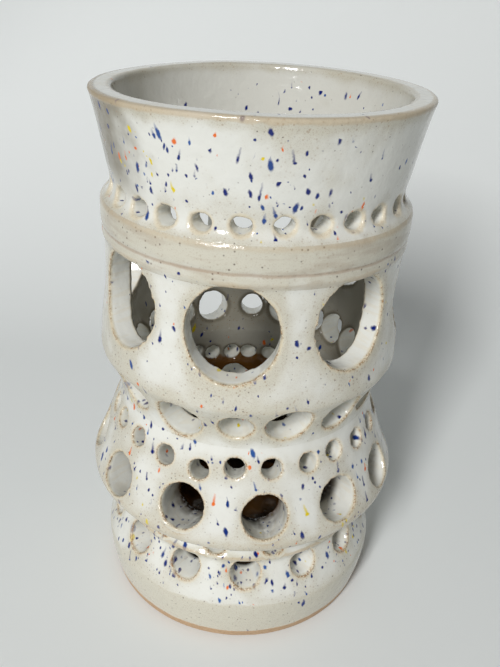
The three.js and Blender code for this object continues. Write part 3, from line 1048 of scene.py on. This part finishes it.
def chips(wall, crowd, cell, least, most, stretch, tails):
    """Masks for one layer of chips: how much chip, and the two random numbers of its colour.

    Every cell of a Voronoi pattern, a stretched box in millimetres, can hold one chip. A chip
    reaches into the wall, so that the skin meets most chips near their full width. It leans
    a little to one side, and its tail runs up from it.
    """
    jitter = vector_maths("SUBTRACT", noise(wall.place, JITTER_SCALE, 1.0, "Color"), MIDDLE_GREY)
    shaken = vector_maths("ADD", wall.place, scaled(jitter, JITTER))
    boxes = vector_maths("MULTIPLY", shaken, (1 / cell[0], 1 / cell[0], 1 / cell[1]))
    pattern = cells(boxes, 1.0, "Position")
    off_chip = vector_maths("SUBTRACT", boxes, pattern)
    step_x, step_y, above = split(vector_maths("MULTIPLY", off_chip, (cell[0], cell[0], cell[1])))
    size_draw, kind_draw, tail_draw = split(pattern["Color"])
    radius = size_draw ** SIZE_POWER * (most - least) + least

    # Steps along the wall, up it and into it, turned by the slant of the chip
    sideways = step_y * wall.right - step_x * wall.back
    into = step_x * wall.right + step_y * wall.back
    into = into * (wall.tunnel * TUNNEL_INTO_WALL + INTO_WALL)
    slant = (redrawn(kind_draw, 3.7) - 0.5) * SLANT
    slipped = sideways - above * slant
    along = above + sideways * slant
    across = (slipped * slipped + into * into) ** 0.5

    tall = along / (redrawn(size_draw, 3.1) * stretch + 0.9)
    core = (across * across + tall * tall) ** 0.5
    chip = (core / radius).fade(*CORE_EDGE)
    climb = along / ((tail_draw - TAIL_START) * tails).maths("MAXIMUM", SHORTEST_TAIL)
    slim = radius * TAIL_WIDTH * (1 - climb * TAIL_TAPER)
    tail = (across - slim).fade(*TAIL_EDGE) * (along > 0) * (climb < 1)
    tail = tail * climb.fade(*TAIL_FADE) * (tail_draw > TAIL_START)
    present = redrawn(kind_draw, 7.31) < crowd
    return chip.maths("MAXIMUM", tail * TAIL_STRENGTH) * present, kind_draw, size_draw


# %% The colours of the chips, and where they crowd
PALE_POWER = 4
YELLOW_FROM = 0.84
ORANGE_FROM = 0.925

# Pairs of a height in millimetres and the share of cells that hold a chip there
CROWDS = [
    (0, 0.05), (20, 0.04), (26, 0.85), (36, 0.85), (50, 0.46), (76, 0.52), (88, 0.6), (97, 0.38),
    (106, 0.24), (150, 0.24), (156, 0.02), (164.5, 0.02), (167, 0.75), (176, 0.7), (191, 0.6),
    (197, 0.1),
]
CROWD_SCALE = 0.04
CROWD_GROUPS = (0.36, 0.6)
LEAST_CROWD = 0.2
TUNNEL_CROWD = 0.9
INSIDE_LOSS = 0.6
CUP_HEIGHTS = (160, 166)
CUP_FRONT = (0.55, 0.95)
CUP_LOSS = 0.6
SMALL_SHARE = 0.3


def chip_colour(kind_draw, shade_draw):
    """Mostly cobalt, with some yellow and some orange."""
    blue = mixed(redrawn(shade_draw, 5.17) ** PALE_POWER, COBALT, PALE_COBALT)
    with_yellow = mixed(kind_draw > YELLOW_FROM, blue, YELLOW)
    return mixed(kind_draw > ORANGE_FROM, with_yellow, ORANGE)


def crowd_at(height):
    """The share of cells that hold a chip at a height, read off a ramp of greys."""
    ramp = height.node("ShaderNodeValToRGB", values={"Fac": height * (MM / HEIGHT)})
    stops = ramp.socket.node.color_ramp.elements
    while len(stops) < len(CROWDS):
        stops.new(1.0)
    for stop, (z, share) in zip(stops, CROWDS):
        stop.position = z * MM / HEIGHT
        stop.color = (share, share, share, 1)
    return split(ramp)[0]


def with_chips(base, wall):
    """Chips in crowds, with fewer inside the vase and round the back of its cup."""
    groups = noise(wall.place, CROWD_SCALE, 1.0).ease(*CROWD_GROUPS)
    crowd = crowd_at(wall.height) * (groups + LEAST_CROWD + wall.tunnel * TUNNEL_CROWD)
    crowd = crowd * (1 - wall.inside * INSIDE_LOSS)
    front = (wall.back * -1 - wall.right * 0.3).ease(*CUP_FRONT)
    off_front = wall.height.ease(*CUP_HEIGHTS) * (1 - front) * (1 - wall.inside)
    crowd = crowd * (1 - off_front * CUP_LOSS)
    small = chips(wall, crowd * SMALL_SHARE, **SMALL_CHIPS)
    large = chips(wall, crowd, **LARGE_CHIPS)
    for body, kind_draw, shade_draw in (small, large):
        base = mixed(body, base, chip_colour(kind_draw, shade_draw))
    return base


# %% Thin along every edge, and gone from the edges that the cutters left
GRAIN_WAVER = 1.3
PATCH_WAVER = 1.2
SOFT_EDGES = (0.08, 0.2)
SOFT_EDGE_SHARE = 0.6
SOFT_EDGE_START = 2
CREAM_REACH = (0.6, 1.9)
CREAM_SHARE = 0.6
WORN_REACH = (0.35, 0.95)
WORN_GRIT = (0.44, 0.58)
CUP_FOOT = (158, 162)
CUP_WEAR_LOSS = 0.75
GRIT_SCALE = 1.9


def with_edges(base, wall):
    """Cream beside an edge, brown on a lip and toasted grit on a cut edge."""
    wall.ragged = (wall.grain - 0.5) * GRAIN_WAVER + wall.patch * PATCH_WAVER
    rough_cut = wall.cut + wall.ragged
    outside = 1 - wall.inside
    soft_edge = (wall.sharp + wall.ragged * 0.05).ease(*SOFT_EDGES) * SOFT_EDGE_SHARE
    soft_edge = soft_edge * (wall.cut > SOFT_EDGE_START)
    cream = rough_cut.fade(*CREAM_REACH).maths("MAXIMUM", soft_edge) * outside
    worn = rough_cut.fade(*WORN_REACH) * outside
    worn = worn * (1 - wall.height.ease(*CUP_FOOT) * CUP_WEAR_LOSS)
    grit = noise(wall.place, GRIT_SCALE)
    base = mixed(cream * CREAM_SHARE, base, CREAM_EDGE)
    base = mixed(soft_edge * outside * 0.6, base, LIP_BROWN)
    base = mixed(worn * (grit.ease(*WORN_GRIT) * 0.75 + 0.12), base, TOASTED_EDGE)
    return base, cream, worn, grit


# %% Glaze that ran through the holes, and dark rings round their inner ends, partly painted shade
RUN_SCALE = 0.8
RUN_MARKS = (0.46, 0.62)
RUN_SHARE = 0.2
RUN_STRETCH = 0.88
INNER_RING = (0.8, 2.6)
INNER_RING_SHARE = 0.6


def with_runs(base, wall):
    """Streaks that lie along the tunnels: their noise is squeezed towards the axis."""
    inwards = vector_maths("DOT_PRODUCT", wall.place, wall.outward, outlet="Value")
    shrink = scaled(wall.outward, inwards * -RUN_STRETCH)
    squeezed = vector_maths("ADD", wall.place, shrink)
    runs = noise(squeezed, RUN_SCALE).ease(*RUN_MARKS) * wall.tunnel
    base = mixed(runs * RUN_SHARE, base, CREAM_EDGE)
    # Dark rings on the inner face round each hole: partly a dark glaze line, partly painted shade
    # where the wall turns into the hole
    ring = wall.inside * (wall.cut + wall.ragged * 0.5).fade(*INNER_RING)
    return mixed(ring * INNER_RING_SHARE, base, RING_BROWN_AND_SHADE)


# %% Bare clay at the very foot
BARE_LINE = (4.4, 5.0)


def with_bare_foot(base, wall):
    """A wavering line below which the clay was wiped clean."""
    line = wall.height + wall.patch * 2.2 + (wall.grain - 0.5) * 0.8
    bare = line.fade(*BARE_LINE)
    return mixed(bare, base, mixed(wall.grain, RAW_CLAY, DARK_CLAY)), bare


# %% Amber that ran down inside and gathered towards the floor, darkened low down with painted shade
STREAK_SCALES = (0.11, 0.11, 0.014)
AMBER_TOP = (67, 82)
AMBER_TOP_WAVER = 20
AMBER_DEPTHS = (0.46, 0.92)
AMBER_TUNNELS = (44, 52)
DEEP_DEPTHS = (0.72, 0.95)
AMBER_RUNS = (0.45, 0.85)
DARK_HEIGHTS = (42, 76)
DARK_RUNS = (0.2, 0.9)


def with_amber(base, wall):
    """Amber on the inner wall. Above the low tunnels it reaches some way into the holes too."""
    streaks = drawn_noise(wall.place, STREAK_SCALES, 3.0)
    lifted = wall.height + wall.patch * AMBER_TOP_WAVER + (1 - wall.inside) * 8
    low_inside = lifted.fade(*AMBER_TOP)
    reach = (wall.depth + (streaks - 0.5) * 0.6).ease(*AMBER_DEPTHS)
    reach = reach * wall.height.ease(*AMBER_TUNNELS)
    reach = reach.maths("MAXIMUM", wall.depth.ease(*DEEP_DEPTHS))
    run = (streaks * 0.4 + low_inside).ease(*AMBER_RUNS) * reach
    # Low inside, the amber turns near black: partly darker pooled amber, partly painted shade where
    # little light reaches
    dark = (wall.height.fade(*DARK_HEIGHTS) + (streaks - 0.5) * 1.3).ease(*DARK_RUNS)
    return mixed(run, base, mixed(dark, AMBER, DARK_AMBER_AND_SHADE))


# %% The glaze, layer on layer
GLAZE_ROUGHNESS = 0.09
RIPPLE_SCALE = 0.2
FINE_RIPPLE_SCALE = 0.9


def glaze(name, thinness, banded=0.0):
    """The speckled glaze; thinness pushes it from thick white to thin and warm."""
    material, place_m = new_material(name)
    wall = read_wall(place_m)
    base, thin, on_foot = glaze_coat(wall, thinness)
    base, specks = with_iron(base, wall, thin, on_foot, banded)
    base = with_chips(base, wall)
    base, cream, worn, grit = with_edges(base, wall)
    base = with_runs(base, wall)
    base, bare = with_bare_foot(base, wall)
    base = with_amber(base, wall)

    # Glassy where the glaze is thick, rough where it wore off, with pits and ripples in mm
    rough = GLAZE_ROUGHNESS + worn * 0.08 + bare * 0.5 + thin * 0.05 + (wall.grain - 0.5) * 0.04
    ripple = noise(wall.place, RIPPLE_SCALE) * 0.3 + noise(wall.place, FINE_RIPPLE_SCALE) * 0.02
    pits = specks * -0.05 + worn * grit * 0.4 + cream * wall.grain * 0.14 + bare * wall.grain * 0.4
    coat = {"Roughness": rough, "Normal": bumped((ripple + pits) * MM), "IOR": GLASS_IOR}
    close_material(base, coat)
    return material


# %% The amber pool, and the glazes of this vase
POOL_SCALE = 0.06
POOL_CLOUDS = (0.35, 0.65)
POOL_RIPPLE = 0.5
POOL_ROUGHNESS = 0.06


def amber_glass():
    """The dark amber pool on the floor, glassy and a little uneven."""
    material, place_m = new_material("amber pool")
    cloud = noise(scaled(place_m, 1 / MM), POOL_SCALE, 4.0)
    base = mixed(cloud.ease(*POOL_CLOUDS), DARK_AMBER_AND_SHADE, AMBER)
    rough = cloud * 0.1 + POOL_ROUGHNESS
    bump = bumped(cloud * POOL_RIPPLE * MM)
    close_material(base, {"Roughness": rough, "Normal": bump, "IOR": GLASS_IOR})
    return material


# Each material, paired with a slot name that nothing further on reads
WHITE = glaze("speckled white glaze", 0.0), "white_glaze"
MOTTLED = glaze("mottled barrel glaze", 0.24), "white_glaze"
WARM = glaze("thin warm glaze", 0.55, banded=1.0), "thin_glaze"
FOOT = glaze("glaze above bare clay", 0.15), "raw_clay"
POOL = amber_glass(), "amber_glaze"
print("Nodes in one glaze:", len(WHITE[0].node_tree.nodes))

# %% Glaze the rings and stand them in for their solids
FINISH = {
    "base_slab": FOOT, "foot_ring": WHITE, "belly_ring": WHITE, "window_barrel": MOTTLED,
    "joint_coil": WARM, "collar_band": WARM, "rim_cup": WHITE,
}


def place_piece(name, mesh, node, finish):
    """Puts a finished piece in the scene, in the place of its solid."""
    material, slot = finish
    mesh.materials.clear()
    mesh.materials.append(material)
    mesh.polygons.foreach_set("material_index", np.zeros(len(mesh.polygons), int))
    piece = put(name, mesh)
    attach(piece, "root")
    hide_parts(node)


for name, mesh in slices.items():
    place_piece("glazed_" + name, mesh, name, FINISH[name])
bpy.data.meshes.remove(skin)

# %% The amber pool on the floor of the vase
POOL_OUTSIDE = [
    (0, 7.3), (46.2, 7.3), (46.9, 9.6), (46.0, 9.0), (44.4, 8.6), (41.5, 8.4), (30, 8.4), (0, 8.5),
]

pool = disc_mesh("amber_pool", POOL_OUTSIDE)
place_piece("amber_pool", pool, "floor_glaze_pool", POOL)
print("The pool is", POOL_OUTSIDE[-1][1] - SLAB_OUTSIDE[-1][1], "mm deep in the middle")

# %% [markdown]
# ## The studio
# A pale seamless sweep, one tall narrow lamp like a window at the photographer's left
# shoulder, and a dim, even world. The sweep is painted greyer away from the vase, as a small
# sheet of paper in a darker room would look: painted shade for light falling off, which also
# throws less light on the vase's sides. The camera stands where the photographer stood:
# close, above the rim and a little tilted.

# %% Floor and backdrop in one sweep
FLOOR_WIDTH = 6.0
FLOOR_NEAR = -2.0
BEND_START = 0.16
BEND_RADIUS = 0.3
WALL_TOP = 2.5
BEND_STEPS = 24
PAPER = colour(238, 241, 240)
FAR_PAPER_SHADE = colour(118, 122, 121)
TO_PAPER_MIDDLE = (-0.1, 0, 0)
PAPER_REACH = (0.5, 0.9)


def paper_sheet():
    """Matt paper painted greyer with its distance from the middle of the sheet, as painted shade."""
    material, place = new_material("pale paper")
    off_middle = vector_maths("ADD", place, TO_PAPER_MIDDLE)
    distance = vector_maths("LENGTH", off_middle, outlet="Value")
    # Painted shade: the paper darkens away from its middle, as light falls off
    paper_tone_and_falloff = mixed(distance.ease(*PAPER_REACH), PAPER, FAR_PAPER_SHADE)
    close_material(paper_tone_and_falloff, {"Roughness": 0.9, "Specular IOR Level": 0.1})
    return material


def sweep():
    """A floor that bends up into a wall behind the vase."""
    angles = np.linspace(0, math.pi / 2, BEND_STEPS)
    bend = [(BEND_START + BEND_RADIUS * math.sin(a), BEND_RADIUS * (1 - math.cos(a))) for a in angles]
    line = [(FLOOR_NEAR, 0.0), *bend, (BEND_START + BEND_RADIUS, WALL_TOP)]
    mesh = bpy.data.meshes.new("paper_sweep")
    verts = [(side * FLOOR_WIDTH / 2, y, z) for y, z in line for side in (-1, 1)]
    faces = [(2 * i, 2 * i + 1, 2 * i + 3, 2 * i + 2) for i in range(len(line) - 1)]
    mesh.from_pydata(verts, [], faces)
    shade_smooth(mesh)
    mesh.materials.append(paper_sheet())
    return put("paper_sweep", mesh)


backdrop = sweep()
backdrop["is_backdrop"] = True
print("The wall of the sweep stands", round(BEND_START + BEND_RADIUS, 2), "m behind the axis")

# %% The lamp and the world
LAMP_PLACE = Vector((-0.7, -1.62, 1.25))
LAMP_AIM = Vector((0, 0, 0.1))
LAMP_WIDTH = 0.36
LAMP_HEIGHT = 0.87
LAMP_WATTS = 36
WORLD_WHITE = (1.0, 1.0, 1.0, 1.0)
WORLD_STRENGTH = 0.165

lamp = bpy.data.lights.new("window_lamp", "AREA")
lamp.shape = "RECTANGLE"
lamp.size = LAMP_WIDTH
lamp.size_y = LAMP_HEIGHT
lamp.energy = LAMP_WATTS
holder = put("window_lamp", lamp)
holder.location = LAMP_PLACE
holder.rotation_euler = (LAMP_AIM - LAMP_PLACE).to_track_quat("-Z", "Y").to_euler()

world = bpy.data.worlds.new("even light")
bpy.context.scene.world = world
world.use_nodes = True
background = world.node_tree.nodes["Background"]
background.inputs["Color"].default_value = WORLD_WHITE
background.inputs["Strength"].default_value = WORLD_STRENGTH
print("The lamp is", round((LAMP_AIM - LAMP_PLACE).length, 2), "m from the vase")

# %% The camera
CAMERA_PLACE = (0.0, -0.2419, 0.2365)
CAMERA_DOWN = math.radians(28.1)
CAMERA_YAW = 0.0028
CAMERA_ROLL = 0.05315
PHOTO_HEIGHT = 667
FOCAL_PIXELS = 700
SENSOR = 36.0
NEAREST = 0.01

lens = bpy.data.cameras.new("camera")
lens.sensor_width = SENSOR
lens.lens = SENSOR * FOCAL_PIXELS / PHOTO_HEIGHT
lens.clip_start = NEAREST
camera = put("camera", lens)
aim = Matrix.Rotation(-CAMERA_YAW, 4, "Z") @ Matrix.Rotation(math.pi / 2 - CAMERA_DOWN, 4, "X")
roll = Matrix.Rotation(CAMERA_ROLL, 4, "Z")
camera.matrix_world = Matrix.Translation(CAMERA_PLACE) @ aim @ roll
bpy.context.scene.camera = camera
bpy.context.scene.view_settings.view_transform = "Standard"
print("The lens is", round(lens.lens, 1), "mm long")

# %% Sizes, and the end of the lesson
visual_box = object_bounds()
for axis, low, high in zip("XYZ", *visual_box):
    print(axis, "runs from", round(low / MM, 1), "to", round(high / MM, 1), "mm")
